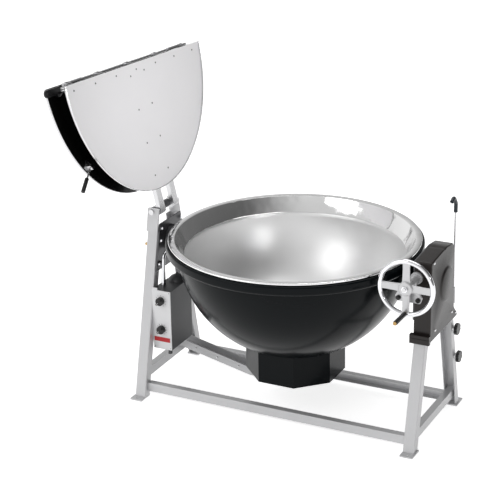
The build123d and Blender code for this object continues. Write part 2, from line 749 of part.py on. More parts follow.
def gear_cover():
    """Moulded cover of the right A-frame: deep at the front and top, shallow behind."""
    depth = cover_outer_x - leg_side
    edge = leg_outside + touch_gap
    shell = Pos(leg_side, 0, 0) * extrude(Plane.YZ * cover_outline(), depth)
    shell = fillet(shell.faces().sort_by(Axis.X)[-1].edges(), 6)
    shell -= Pos(leg_side - 1, 0, 0) * extrude(Plane.YZ * cover_outline(cover_shell),
                                               depth - cover_shell + 1)
    behind = cover_back_y + 50
    shell -= block(leg_side - 1, edge, -40, behind, cover_low - 1, worm_z + 52)
    shell -= block(leg_side - 1, edge, cover_front_y + cover_shell, behind, cover_low - 1,
                   cover_low + 10)
    dome = Pos(cover_outer_x - 2, 5, tilt_height - 10) * Rot(0, 90, 0) * Cone(
        82, 64, 10, align=(Align.CENTER, Align.CENTER, Align.MIN))
    return shell + dome - rod("Y", drum_radius + touch_gap, -300, -100, worm_x, worm_z)


def cover_strap():
    """Moulded pad that clamps the cover's lower front end."""
    pad = block(leg_side - 11, cover_outer_x + 2, cover_front_y - strap_depth, cover_front_y,
                cover_low - 3, cover_low + 35)
    pad = fillet(pad.edges().filter_by(Axis.Z) + pad.edges().filter_by(Axis.X).group_by(Axis.Y)[0], 3)
    return pad - block(leg_side - 15, cover_outer_x + 8, cover_front_y - strap_depth - 1,
                       cover_front_y - strap_depth + 2, cover_low + 19, cover_low + 23)


def cover_spacers():
    """Spacers between the legs' outer sides and the cover, for its screws."""
    low, back, high = cover_low + 50, cover_low + 20, tilt_height + 20
    spots = [(-leg_middle(low), low), (leg_middle(back) - 12, back), (-leg_middle(high), high)]
    return [rod("X", 6, leg_outside, cover_outer_x - cover_shell, y, z) for y, z in spots]


# --- services -------------------------------------------------------------------------------------
def control_box():
    """Sheet housing beside the left A-frame, with a round hood on top."""
    box = block(box_left, box_right, box_front, box_back, box_bottom, box_top)
    box = fillet(box.edges().filter_by(Axis.Z).group_by(Axis.Y)[-1], 5)
    box -= block(box_left + box_sheet, box_right - box_sheet, box_front - 1, box_back - box_sheet,
                 box_bottom + box_sheet, box_top - box_sheet)
    middle = (box_left + box_right) / 2
    hood = Pos(middle, box_back - 44, box_top - 20) * Sphere(45)
    hood &= block(box_left, box_right, box_back - 100, box_back + 20, box_top, box_top + 60)
    box += hood + rod("Z", 7, box_top, box_top + 30, middle, box_back - 44)
    cock = rod("Z", 9, box_bottom - 26, box_bottom, box_right - 22, box_front + 22)
    return box + cock


def control_panel():
    """Front plate of the control box with a plain plate under the knobs."""
    y0 = box_front - panel_sheet
    plate = block(box_left, box_right, y0, box_front, box_bottom, box_top)
    plate += block(box_left + 4, box_right - 6, y0 - 1.5, y0, box_bottom + 35,
                   box_bottom + 57)
    plate += block(box_left + 2, box_left + 26, y0, box_front, box_top, box_top + 10)
    for z in knob_heights:
        plate -= rod("Y", 4, y0 - 1, box_front + 1, knob_x, z)
    return plate


def control_knob(z):
    """Round control knob with a pointer, on its spindle."""
    back = box_front - panel_sheet - touch_gap
    knob = rod("Y", knob_radius, back - knob_length, back, knob_x, z)
    knob = fillet(knob.edges().filter_by(GeomType.CIRCLE).sort_by(Axis.Y)[0], 2.5)
    bar = fillet(Box(8, 8, 2 * knob_radius - 4).edges().filter_by(Axis.Y), 2)
    bar = Pos(0, 0, -3) * bar
    knob += Pos(knob_x, back - knob_length - 1, z) * Rot(0, 45, 0) * bar
    return knob + rod("Y", 4 - running_clearance, back - 1, box_front + 8, knob_x, z)


def channel_top(x):
    return channel_low + max(0, channel_bend_x - x) * channel_rise


def service_channel():
    """Open channel from the left side rail to beside the heater casing, with its supports."""
    start = -leg_x - 5

    def strip(drop_top, drop_bottom, extra):
        xs = [start - extra, channel_bend_x, channel_end_x + extra]
        upper = [(x, channel_top(x) - drop_top) for x in xs]
        lower = [(x, channel_top(x) - drop_bottom) for x in reversed(xs)]
        return upper + lower

    y0 = channel_y - channel_width / 2
    y1 = channel_y + channel_width / 2
    body = prism("Y", strip(0, channel_height, 0), y0, y1)
    body -= prism("Y", strip(-5, channel_height - channel_wall, 1), y0 + channel_wall,
                  y1 - channel_wall)
    rail_top = side_rail_left + side_rail_height
    rail_edge = -leg_x + side_rail_width / 2
    seat = [(start, rail_top), (rail_edge, rail_top),
            (rail_edge, channel_top(rail_edge) - channel_height + 1),
            (start, channel_top(start) - channel_height + 1)]
    body += prism("Y", seat, y0 + 5, y1 - 5)
    web = leg_face(rail_bottom + rail_height / 2) - rail_setback - rail_depth
    foot_x = channel_bend_x + channel_foot
    body += block(foot_x, foot_x + channel_foot_width, y1 - channel_wall, web, channel_low - channel_height,
                  rail_bottom + rail_height)
    return body


def steam_pipe():
    """Bright pipe from the control box up to the left bearing housing."""
    bend_z = tilt_height - 50
    points = [(pipe_x, -122, box_top - 6), (pipe_x, -108, bend_z), (pipe_x, -30, tilt_height - 8)]
    path = FilletPolyline(*points, radius=25)
    profile = Plane(origin=points[0], z_dir=(0, 14, bend_z - box_top + 6)) * Circle(pipe_radius)
    pipe = sweep(profile, path=path)
    pipe -= rod("X", housing_radius, -housing_face + 20, -leg_side, 0, tilt_height)
    return pipe - block(box_left, box_right, -200, 0, box_top - 40, box_top)


def conduit():
    """Thin dark conduit beside the pipe, to the bearing plate."""
    x = pipe_x - 4
    y = conduit_inset - leg_middle(bearing_bottom + 27)
    high = bearing_bottom + 33
    points = [(x, y, box_top), (x, y, high), (-leg_side + side_plate, y, high)]
    path = FilletPolyline(*points, radius=10)
    return sweep(Plane(origin=points[0], z_dir=(0, 0, 1)) * Circle(conduit_radius), path=path)


def brass_fitting():
    """Small fitting on the outer side of the front left leg."""
    z = tilt_height - 10
    y = -leg_middle(z)
    nut = Pos(-leg_outside - 6, y, z) * extrude(Plane.YZ * RegularPolygon(10, 6), 6)
    return nut + rod("X", 6, -leg_outside - 14, -leg_outside, y, z)


def valve_body(z):
    """Stop valve body on the outer side of the rear right leg."""
    y = leg_middle(z)
    body = rod("X", 12, leg_outside, leg_outside + 12, y, z)
    return body + rod("X", 4, leg_outside + 12, leg_outside + 22, y, z)


def valve_knob(z):
    """Lobed knob on a valve's stem."""
    x = leg_outside + 12 + touch_gap
    y = leg_middle(z)
    knob = rod("X", valve_knob_radius, x, x + valve_knob_length, y, z)
    for i in range(8):
        angle = radians(45 * i)
        knob -= rod("X", 5, x - 1, x + valve_knob_length + 1,
                    y + (valve_knob_radius + 2) * cos(angle),
                    z + (valve_knob_radius + 2) * sin(angle))
    return knob - rod("X", 4 + running_clearance, x - 1, x + 10, y, z)


def rod_socket():
    """Socket on the rear right leg that holds the upright rod."""
    body = rod("Z", 8, rod_low - 8, rod_low + 60, rod_x, rod_y)
    body += block(leg_outside, rod_x, rod_y - 7, rod_y + 7, rod_low, rod_low + 50)
    return body - rod("Z", rod_radius + running_clearance, rod_low, rod_low + 80, rod_x, rod_y)


def hook_rod():
    return rod("Z", rod_radius, rod_low, rod_top, rod_x, rod_y)


def hook_grip():
    """Bent grip moulded on the rod's top."""
    foot_z = rod_top - 14
    path = FilletPolyline((rod_x, rod_y, foot_z), (rod_x, rod_y, rod_top + 24),
                          (rod_x, rod_y - 26, rod_top + 56), (rod_x, rod_y - 50, rod_top + 44),
                          radius=14)
    profile = Plane(origin=(rod_x, rod_y, foot_z), z_dir=(0, 0, 1)) * Circle(8)
    return sweep(profile, path=path) - rod("Z", rod_radius, foot_z - 5, rod_top, rod_x, rod_y)


# --- write every piece ----------------------------------------------------------------------------
os.makedirs("parts", exist_ok=True)

save("inner_pan", inner_pan())
save("rim_collar", rim_collar())
save("steam_jacket", steam_jacket())
save("heater_casing", heater_casing())
save("trunnion_left", trunnion(-1, leg_side + 20))
save("trunnion_right", trunnion(1, wheel_x + wheel_width + 6))
save("worm_wheel", worm_wheel())

for label, side, top in (("left", -1, leg_top_left), ("right", 1, leg_top_right)):
    front_leg = leg(side, top)
    save(f"leg_front_{label}", front_leg)
    save(f"leg_rear_{label}", mirrored(front_leg))
feet = [foot(side) for side in (-1, 1)]
save("foot_plates", *feet, *[mirrored(plate) for plate in feet])
save("rail_front", long_rail())
save("rail_rear", mirrored(long_rail()))
save("rail_left", side_rail(-1, side_rail_left))
save("rail_right", side_rail(1, side_rail_right))
save("bearing_plate_left", bearing_plate_left())
save("gear_head", gear_head())
save("trunnion_bushes", bush(-1), bush(1))
save("worm_sleeve", sleeve())
save("wheel_bracket", wheel_bracket())
save("bracket_bolts", *bracket_bolts())

save("head_plates", head_plate_front(), mirrored(head_plate_front()))
save("cross_plate", cross_plate())
save("head_bolts", *head_bolts())

save("lid_pivot_shaft", opened(pivot_shaft()))
save("lid_arms", opened(lid_arm(-1)), opened(lid_arm(1)))
save("lid_fixed_half", opened(turned(lid_half(-1))))
save("lid_fixed_lugs", *[opened(turned(lug)) for lug in fixed_lugs()])
save("lid_fold_pin", opened(turned(fold_pin())))
save("lid_screws", *[opened(screw) for screw in lid_screws()])
save("latch_post", opened(turned(latch_post())))
save("latch_bar", opened(turned(latch_bar())))
save("lid_free_half", opened(turned(folded(lid_half(1)))))
save("lid_free_lugs", *[opened(turned(folded(lug))) for lug in free_lugs()])
save("handle_bracket", opened(turned(folded(handle_bracket()))))
save("handle_rod", opened(turned(folded(handle_rod()))))
save("handle_grip", opened(turned(folded(handle_grip()))))

save("handwheel", handwheel())
save("worm_shaft", worm_shaft())
save("hub_nut", hub_nut())
save("crank_pin", crank_pin())
save("crank_grip", crank_grip())

save("gear_cover", gear_cover())
save("cover_strap", cover_strap())
save("cover_spacers", *cover_spacers())

save("control_box", control_box())
save("control_panel", control_panel())
save("control_knob_lower", control_knob(knob_heights[0]))
save("control_knob_upper", control_knob(knob_heights[1]))
save("service_channel", service_channel())
save("steam_pipe", steam_pipe())
save("conduit", conduit())
save("brass_fitting", brass_fitting())
save("valve_bodies", *[valve_body(z) for z in valve_heights])
save("valve_knob_lower", valve_knob(valve_heights[0]))
save("valve_knob_upper", valve_knob(valve_heights[1]))
save("rod_socket", rod_socket())
save("hook_rod", hook_rod())
save("hook_grip", hook_grip())
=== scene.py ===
# A tilting jacketed kettle with a folding lid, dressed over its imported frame. Every length is in
# metres. The sections follow the kettle as it is put together: stand, bearings, bowl, lid head,
# lid, tilt drive, controls, services, and at the end the floor, the lights and the camera.
import math

import bmesh
import bpy
from mathutils import Matrix, Vector


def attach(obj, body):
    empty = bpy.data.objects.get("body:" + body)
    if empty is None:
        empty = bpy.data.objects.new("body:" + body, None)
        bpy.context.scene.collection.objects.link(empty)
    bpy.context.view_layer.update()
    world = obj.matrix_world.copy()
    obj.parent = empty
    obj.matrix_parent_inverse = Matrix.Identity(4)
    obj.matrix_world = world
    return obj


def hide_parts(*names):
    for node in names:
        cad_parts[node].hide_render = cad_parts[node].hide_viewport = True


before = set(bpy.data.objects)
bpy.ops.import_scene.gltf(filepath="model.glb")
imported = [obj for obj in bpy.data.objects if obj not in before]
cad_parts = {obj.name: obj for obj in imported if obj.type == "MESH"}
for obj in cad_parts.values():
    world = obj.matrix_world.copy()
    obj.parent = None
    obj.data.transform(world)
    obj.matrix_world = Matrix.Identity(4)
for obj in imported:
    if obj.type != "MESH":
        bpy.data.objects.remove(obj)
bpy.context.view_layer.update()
scene = bpy.context.scene


# --- stand ------------------------------------------------------------------------------------
# Four leaning channel legs on floor plates, joined by channel rails at the front and back and by
# steel tubes at the sides. All of it is cut, bent and welded, with a coat of grey paint.
def build_grain_group():
    """Fine grain, soft smudges and slow waves of a surface, all from object coordinates."""
    grain_bump, wave_bump = 0.0004, 0.006
    group = bpy.data.node_groups.new("SurfaceGrain", "ShaderNodeTree")
    face = group.interface
    for name, default in (("Grain Scale", 400.0), ("Grain Depth", 0.1), ("Smudge Scale", 6.0),
                          ("Smudge Amount", 0.08), ("Roughness", 0.4), ("Wave Scale", 12.0),
                          ("Wave Depth", 0.0)):
        socket = face.new_socket(name, in_out="INPUT", socket_type="NodeSocketFloat")
        socket.default_value = default
    socket = face.new_socket("Stretch", in_out="INPUT", socket_type="NodeSocketVector")
    socket.default_value = (1, 1, 1)
    socket = face.new_socket("Color", in_out="INPUT", socket_type="NodeSocketColor")
    socket.default_value = (0.8, 0.8, 0.8, 1)
    face.new_socket("Color", in_out="OUTPUT", socket_type="NodeSocketColor")
    face.new_socket("Roughness", in_out="OUTPUT", socket_type="NodeSocketFloat")
    face.new_socket("Normal", in_out="OUTPUT", socket_type="NodeSocketVector")
    nodes, link = group.nodes, group.links.new
    given = nodes.new("NodeGroupInput")
    out = nodes.new("NodeGroupOutput")
    coords = nodes.new("ShaderNodeTexCoord")
    stretch = nodes.new("ShaderNodeVectorMath")
    stretch.operation = "MULTIPLY"
    link(coords.outputs["Object"], stretch.inputs[0])
    link(given.outputs["Stretch"], stretch.inputs[1])
    grain = nodes.new("ShaderNodeTexNoise")
    grain.inputs["Detail"].default_value = 3
    link(stretch.outputs[0], grain.inputs["Vector"])
    link(given.outputs["Grain Scale"], grain.inputs["Scale"])
    smudge = nodes.new("ShaderNodeTexNoise")
    smudge.inputs["Detail"].default_value = 5
    link(coords.outputs["Object"], smudge.inputs["Vector"])
    link(given.outputs["Smudge Scale"], smudge.inputs["Scale"])
    centred = nodes.new("ShaderNodeMath")
    centred.operation = "SUBTRACT"
    centred.inputs[1].default_value = 0.5
    link(smudge.outputs["Fac"], centred.inputs[0])
    shift = nodes.new("ShaderNodeMath")
    shift.operation = "MULTIPLY_ADD"
    link(centred.outputs[0], shift.inputs[0])
    link(given.outputs["Smudge Amount"], shift.inputs[1])
    link(given.outputs["Roughness"], shift.inputs[2])
    link(shift.outputs[0], out.inputs["Roughness"])
    tone = nodes.new("ShaderNodeMath")
    tone.operation = "MULTIPLY_ADD"
    tone.inputs[2].default_value = 1.0
    link(centred.outputs[0], tone.inputs[0])
    link(given.outputs["Smudge Amount"], tone.inputs[1])
    colour = nodes.new("ShaderNodeVectorMath")
    colour.operation = "SCALE"
    link(given.outputs["Color"], colour.inputs[0])
    link(tone.outputs[0], colour.inputs["Scale"])
    link(colour.outputs[0], out.inputs["Color"])
    bump = nodes.new("ShaderNodeBump")
    bump.inputs["Distance"].default_value = grain_bump
    link(given.outputs["Grain Depth"], bump.inputs["Strength"])
    link(grain.outputs["Fac"], bump.inputs["Height"])
    waves = nodes.new("ShaderNodeTexNoise")
    waves.inputs["Detail"].default_value = 1
    link(stretch.outputs[0], waves.inputs["Vector"])
    link(given.outputs["Wave Scale"], waves.inputs["Scale"])
    swell = nodes.new("ShaderNodeBump")
    swell.inputs["Distance"].default_value = wave_bump
    link(given.outputs["Wave Depth"], swell.inputs["Strength"])
    link(waves.outputs["Fac"], swell.inputs["Height"])
    link(bump.outputs[0], swell.inputs["Normal"])
    link(swell.outputs[0], out.inputs["Normal"])
    return group


grain_group = build_grain_group()


def material(name, colour, metallic, roughness, grain=400.0, depth=0.1, smudge=6.0, amount=0.1,
             stretch=(1, 1, 1), coat=0.0, specular=0.5, wave=12.0, swell=0.0):
    """Finish with its own colour and shine, and the group's grain, smudges and waves on it."""
    made = bpy.data.materials.new(name)
    made.use_nodes = True
    nodes, link = made.node_tree.nodes, made.node_tree.links.new
    shader = nodes["Principled BSDF"]
    surface = nodes.new("ShaderNodeGroup")
    surface.node_tree = grain_group
    for socket, value in (("Grain Scale", grain), ("Grain Depth", depth),
                          ("Smudge Scale", smudge), ("Smudge Amount", amount),
                          ("Roughness", roughness), ("Wave Scale", wave), ("Wave Depth", swell),
                          ("Stretch", stretch), ("Color", (*colour, 1))):
        surface.inputs[socket].default_value = value
    link(surface.outputs["Color"], shader.inputs["Base Color"])
    link(surface.outputs["Roughness"], shader.inputs["Roughness"])
    link(surface.outputs["Normal"], shader.inputs["Normal"])
    shader.inputs["Metallic"].default_value = metallic
    shader.inputs["Coat Weight"].default_value = coat
    shader.inputs["Coat Roughness"].default_value = 0.06
    shader.inputs["Specular IOR Level"].default_value = specular
    return made


def dress(names, finish):
    """Give the named solids one finish."""
    for name in names.split():
        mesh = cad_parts[name].data
        mesh.materials.clear()
        mesh.materials.append(finish)


grey_paint = material("grey_paint", (.63, .63, .64), .35, .34, 900, .10, 7, .10)
dress("leg_front_left leg_rear_left leg_front_right leg_rear_right foot_plates", grey_paint)
dress("rail_front rail_rear rail_left rail_right", grey_paint)


# --- weld beads -------------------------------------------------------------------------------
# Fillet welds where the rails meet the legs and the legs meet their floor plates, each a run of
# small overlapping ripples of weld metal, painted with the stand.
leg_spread, leg_slope = 0.266, 0.230      # leg's outer face from the middle, and its lean
ripple_radius, ripple_pitch = 0.0022, 0.0035
plate_top, rail_low, rail_shoulder, rail_top = 0.006, 0.026, 0.060, 0.063
rail_end, rail_face, rail_back = 0.595, 0.235, 0.218
leg_near, leg_far, leg_web = 0.598, 0.642, 0.645


def piece(name, mesh, body, slot, *finishes):
    """Object whose place is in its mesh, carried by one body."""
    made = bpy.data.objects.new(name, mesh)
    scene.collection.objects.link(made)
    for finish in finishes:
        mesh.materials.append(finish)
    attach(made, body)
    return made


def leg_face(z):
    return leg_spread - leg_slope * z


def make_welds():
    build = bmesh.new()

    def bead(start, end):
        start, end = Vector(start), Vector(end)
        count = max(3, int((end - start).length / ripple_pitch))
        for i in range(count + 1):
            spot = start.lerp(end, i / count)
            made = bmesh.ops.create_icosphere(build, subdivisions=1, radius=ripple_radius)
            bmesh.ops.translate(build, verts=made["verts"], vec=spot)

    for side in (-1, 1):
        for back in (-1, 1):
            x, y = side * rail_end, back * rail_face
            bead((x, y, rail_low), (x, y, rail_shoulder))
            bead((x, back * rail_back, rail_top), (x, y - back * 0.002, rail_top))
            foot = leg_face(plate_top)
            bead((side * leg_near, back * foot, plate_top), (side * leg_far, back * foot, plate_top))
            bead((side * leg_web, back * (foot - 0.004), plate_top),
                 (side * leg_web, back * (foot - 0.036), plate_top))
    mesh = bpy.data.meshes.new("weld_beads")
    build.to_mesh(mesh)
    build.free()
    mesh.polygons.foreach_set("use_smooth", [True] * len(mesh.polygons))
    piece("weld_beads", mesh, "frame", "grey_paint", grey_paint)


make_welds()


# --- bearings ---------------------------------------------------------------------------------
# A dark steel plate with a bored housing on the left legs, and a flanged bronze bush in each of
# the two housings, in which the bowl's trunnions turn.
dark_steel = material("dark_steel", (.11, .11, .115), .8, .36, 500, .12, 9, .2)
bronze = material("bronze", (.40, .27, .13), 1.0, .34, 500, .08, 12, .15)
dress("bearing_plate_left", dark_steel)
dress("trunnion_bushes", bronze)


# --- pan --------------------------------------------------------------------------------------
# Bright steel pan: a dished bottom with a satin spun face, and welded above it a flared band,
# polished bright, that ends in a flat flange with a turned lip.
mouth_radius, rim_height = 0.500, 0.754
bowl_centre = 0.740                       # height of the sphere's centre
pan_inside, pan_outside = 0.465, 0.468
weld_below_rim = 0.064
flange_radius, lip_depth, sheet = 0.527, 0.006, 0.003
bottom_angle = 0.004                      # section's first angle, beside the axis
round_steps = 224
polished = material("polished_steel", (.86, .86, .86), 1.0, .10, 900, .015, 9, .05, wave=14,
                    swell=.55)
spun = material("spun_steel", (.82, .82, .82), 1.0, .38, 260, .10, 3, .16, (1, 1, 14), wave=1,
                swell=.20)


def sphere_run(radius, start, end, steps):
    """Points of a bowl section from one angle to another, measured from straight down."""
    return [(radius * math.sin(a), bowl_centre - radius * math.cos(a))
            for a in (start + (end - start) * i / steps for i in range(steps + 1))]


def lathe(name, outline, steps, marks=()):
    """Mesh of a closed (radius, height) outline turned about Z; marks: a finish per edge."""
    mesh = bpy.data.meshes.new(name)
    count = len(outline)
    points, faces, indices = [], [], []
    for i in range(steps):
        turn = 2 * math.pi * i / steps
        points += [(r * math.cos(turn), r * math.sin(turn), z) for r, z in outline]
    for i in range(steps):
        j = (i + 1) % steps
        for k in range(count):
            n = (k + 1) % count
            faces.append((i * count + k, j * count + k, j * count + n, i * count + n))
            indices.append(marks[k] if marks else 0)
    mesh.from_pydata(points, [], faces)
    mesh.polygons.foreach_set("material_index", indices)
    mesh.polygons.foreach_set("use_smooth", [True] * len(faces))
    mesh.validate()
    mesh.update()
    return mesh


def sharpen(mesh, degrees=35):
    mesh.set_sharp_from_angle(angle=math.radians(degrees))


def make_pan():
    weld = rim_height - weld_below_rim
    inner = math.acos((bowl_centre - weld) / pan_inside)
    outer = math.acos((bowl_centre - weld) / pan_outside)
    inside = sphere_run(pan_inside, bottom_angle, inner - 0.006, 44)
    bead = [(inside[-1][0] + 0.0006, weld - 0.002), (inside[-1][0] - 0.0006, weld),
            (inside[-1][0] + 0.0018, weld + 0.0022)]
    edge = rim_height
    band = [(mouth_radius - 0.0022, edge - 0.0040), (mouth_radius - 0.0008, edge - 0.0010),
            (mouth_radius + 0.0015, edge)]
    flange = [(0.5245, edge), (0.5262, edge - 0.0008), (flange_radius, edge - 0.0025),
              (flange_radius, edge - lip_depth), (0.524, edge - lip_depth), (0.524, edge - sheet),
              (0.503, edge - sheet)]
    outside = sphere_run(pan_outside, outer, bottom_angle, 30)
    outline = inside + bead + band + flange + outside
    marks = [1 if k < len(inside) else 0 for k in range(len(outline))]
    mesh = lathe("pan_shell", outline, round_steps, marks)
    sharpen(mesh, 40)
    shell = piece("pan_shell", mesh, "kettle", "polished_steel", polished, spun)
    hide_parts("inner_pan")


make_pan()


# --- jacket -----------------------------------------------------------------------------------
# Closed steel jacket in black enamel: a rounded collar under the flange, a dished shell hung
# from it, an eight-sided sheet casing below, and the two trunnions with their pads.
collar_depth, collar_radius, collar_foot = 0.052, 0.538, 0.488
upper_round, lower_round = 0.009, 0.014
jacket_inside, jacket_outside = 0.492, 0.495
enamel = material("black_enamel", (.0020, .0036, .0046), 0.0, .22, 160, .03, 5, .06, coat=.04,
                  specular=.09)
dress("heater_casing trunnion_left trunnion_right", enamel)


def quarter_round(x, z, r, start):
    return [(x + r * math.cos(start + i * math.pi / 16), z + r * math.sin(start + i * math.pi / 16))
            for i in range(9)]


def make_collar():
    top, low = rim_height - sheet, rim_height - collar_depth
    outline = [(0.505, top), (0.5236, top), (0.5236, top - 0.005)]
    outline += reversed(quarter_round(collar_radius - upper_round, top - 0.0155, upper_round, 0))
    outline += reversed(quarter_round(collar_radius - lower_round, low + lower_round, lower_round,
                                      -math.pi / 2))
    outline += [(collar_foot, low), (collar_foot, low + 0.003), (0.520, low + 0.003),
                (0.533, low + 0.014), (0.534, top - 0.016), (0.5206, top - 0.0085),
                (0.5206, top - 0.004), (0.505, top - 0.004)]
    mesh = lathe("collar_ring", list(reversed(outline)), round_steps)
    sharpen(mesh, 40)
    ring = piece("collar_ring", mesh, "kettle", "black_enamel", enamel)
    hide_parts("rim_collar")


def make_jacket():
    z = rim_height - collar_depth
    outer = math.acos((bowl_centre - z) / jacket_outside)
    inner = math.acos((bowl_centre - z) / jacket_inside)
    outline = (sphere_run(jacket_inside, bottom_angle, inner, 30)
               + sphere_run(jacket_outside, outer, bottom_angle, 48))
    mesh = lathe("jacket_shell", outline, round_steps)
    sharpen(mesh, 40)
    shell = piece("jacket_shell", mesh, "kettle", "black_enamel", enamel)
    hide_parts("steam_jacket")


make_collar()
make_jacket()


# --- lid head ---------------------------------------------------------------------------------
# Painted plates bolted to the tops of the left legs carry a steel shaft, to which the lid's arms
# are clamped. A dark cross plate ties the legs, and a dark tube spaces the arms on the shaft.
lid_pivot = Vector((-0.628, 0, 0.795))
spacer_half, spacer_outside, spacer_inside = 0.0355, 0.0165, 0.0122
satin = material("satin_steel", (.62, .62, .63), 1.0, .26, 500, .06, 8, .12, (1, 1, 8))
chrome = material("bright_chrome", (.78, .78, .80), 1.0, .08, 900, .02, 20, .06)
dress("head_plates", grey_paint)
dress("cross_plate", dark_steel)
dress("head_bolts", chrome)
dress("lid_pivot_shaft", satin)


def make_spacer():
    mesh = lathe("pivot_spacer", [(spacer_inside, -spacer_half), (spacer_outside, -spacer_half),
                                  (spacer_outside, spacer_half), (spacer_inside, spacer_half)], 48)
    mesh.transform(Matrix.Translation(lid_pivot) @ Matrix.Rotation(math.pi / 2, 4, "X"))
    sharpen(mesh)
    piece("pivot_spacer", mesh, "lid_fixed", "dark_steel", dark_steel)


make_spacer()


# --- lid --------------------------------------------------------------------------------------
# Two half discs of sheet steel with a turned-down rim, pale on the cooking side. Their outer faces,
# which meet when the lid is folded, are painted glossy near black as the shade and dark reflection
# between the halves. They fold on a row of lugs on one pin, and screws hold one to tube arms.
lid_open, lid_turn = math.radians(103.4), math.radians(3.7)
lid_radius, lid_under, lid_top = 0.540, 0.7545, 0.7565
fold_z = 0.800
rim_drop, rim_sheet = 0.008, 0.002
edge_round, hem_round, hem_middle = 0.0015, 0.0008, 0.001
fold_gap = 0.0005                         # each half's straight edge from the fold line
half_steps = 150
# Finish slots of a lid half. Slot 1, the outer face, carries the painted shade between the folded
# halves.
pale_side, shade_painted_side, edge_side = 0, 1, 2
sheet_steel = material("sheet_steel", (.90, .89, .905), .20, .50, 300, .03, 3, .07, (1, 9, 1))
# Painted shade: this near-black colour on the lid's outer faces stands for the shade and dark
# reflection between the folded halves.
shade_painted_polish = material("shade_painted_polish", (.004, .004, .004), 0.0, .16, 120, .03, 5, .08, coat=.1,
                       specular=.2)
dress("lid_arms lid_fixed_lugs lid_fold_pin", satin)
dress("lid_screws lid_free_lugs", dark_steel)


def swing(point):
    """From the closed lid, its disc turned a little on the arms, to the open one."""
    turned = Matrix.Rotation(lid_turn, 4, "Z") @ Vector(point)
    return lid_pivot + Matrix.Rotation(-lid_open, 4, "Y") @ (turned - lid_pivot)


def fold(point):
    """From the free half laid flat to the one folded over the fixed half."""
    return Vector((-point[0], point[1], 2 * fold_z - point[2]))


def make_lid_half(name, side, node, body):
    section = [(lid_radius - edge_round, lid_top), (lid_radius, lid_top - edge_round),
               (lid_radius, lid_under - rim_drop + hem_round),
               (lid_radius - hem_middle, lid_under - rim_drop),
               (lid_radius - rim_sheet, lid_under - rim_drop + hem_round),
               (lid_radius - rim_sheet, lid_under)]
    points, faces, marks = [], [], []
    for i in range(half_steps + 1):
        turn = -math.pi / 2 + math.pi * i / half_steps
        for radius, z in section:
            x = max(radius * math.cos(turn), fold_gap)
            points.append((side * x, radius * math.sin(turn), z))
    count = len(section)
    for i in range(half_steps):
        for k in range(count - 1):
            quad = (i * count + k, i * count + k + 1, (i + 1) * count + k + 1, (i + 1) * count + k)
            faces.append(quad if side < 0 else tuple(reversed(quad)))
            marks.append(edge_side)
    top = [i * count for i in range(half_steps + 1)]
    under = [i * count + count - 1 for i in range(half_steps + 1)]
    faces.append(tuple(reversed(top)) if side < 0 else tuple(top))
    marks.append(shade_painted_side)
    faces.append(tuple(under) if side < 0 else tuple(reversed(under)))
    marks.append(pale_side)
    first = list(range(count))
    last = [half_steps * count + k for k in range(count)]
    faces.append((first[0], last[0], last[-1], first[-1]))
    marks.append(edge_side)
    for end in (first, last):
        faces.append(tuple(end))
        marks.append(edge_side)
    mesh = bpy.data.meshes.new(name)
    mesh.from_pydata([swing(fold(p) if side > 0 else p) for p in points], [], faces)
    mesh.polygons.foreach_set("material_index", marks)
    mesh.polygons.foreach_set("use_smooth", [True] * len(faces))
    fixer = bmesh.new()
    fixer.from_mesh(mesh)
    bmesh.ops.recalc_face_normals(fixer, faces=fixer.faces)
    fixer.to_mesh(mesh)
    fixer.free()
    sharpen(mesh, 40)
    half = piece(name, mesh, body, "satin_steel", sheet_steel, shade_painted_polish, satin)
    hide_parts(node)


make_lid_half("lid_fixed_sheet", -1, "lid_fixed_half", "lid_fixed")
make_lid_half("lid_free_sheet", 1, "lid_free_half", "lid_free")


# --- lid's handle and catch -------------------------------------------------------------------
# A straight rod in a small bracket, with a moulded grip, lifts the free half. A flat black bar
# with round ends turns on a steel stud and swings over the fold line.
black_plastic = material("black_plastic", (.006, .006, .0065), 0.0, .30, 900, .2, 20, .15,
                         specular=.40)
dress("handle_bracket handle_rod latch_post", satin)
dress("handle_grip latch_bar", black_plastic)


# --- worm drive -------------------------------------------------------------------------------
# A bronze wheel on the right trunnion is turned by a worm on a steel shaft. A cast sleeve holds
# the shaft, and a cast bracket with two black knurled bolts sits on the sleeve.
cast = material("cast_aluminium", (.60, .60, .61), .60, .36, 300, .30, 40, .10)
dress("worm_wheel", bronze)
dress("worm_shaft", satin)
dress("worm_sleeve wheel_bracket", cast)
dress("bracket_bolts", black_plastic)


# --- handwheel --------------------------------------------------------------------------------
# One aluminium casting: a round rim polished bright, four broad flat spokes left as cast, and a
# stepped hub held by a bright nut. The black grip spins on a brass pin riveted in the rim.
wheel_centre = Vector((0.605, -0.282, 0.728))
rim_orbit, rim_round = 0.110, 0.010
rim_steps, rim_sides = 120, 20
spoke_run = ((0.018, 0.0170, 0.0052), (0.034, 0.0158, 0.0048), (0.050, 0.0150, 0.0046),
             (0.080, 0.0142, 0.0046), (0.096, 0.0146, 0.0048), (0.102, 0.0158, 0.0050),
             (0.106, 0.0180, 0.0054))    # radius, half width and half thickness
spoke_sides, spoke_squareness = 16, 0.28
hub_outline = ((0.012, -0.014), (0.0255, -0.014), (0.0285, -0.0115), (0.029, -0.006),
               (0.029, 0.0185), (0.0275, 0.0197), (0.012, 0.0197))
hub_steps = 64
rim_finish = 1
brass = material("brass", (.42, .27, .11), 1.0, .28, 500, .05, 20, .12)
dress("hub_nut", chrome)
dress("crank_pin", brass)
dress("crank_grip", black_plastic)


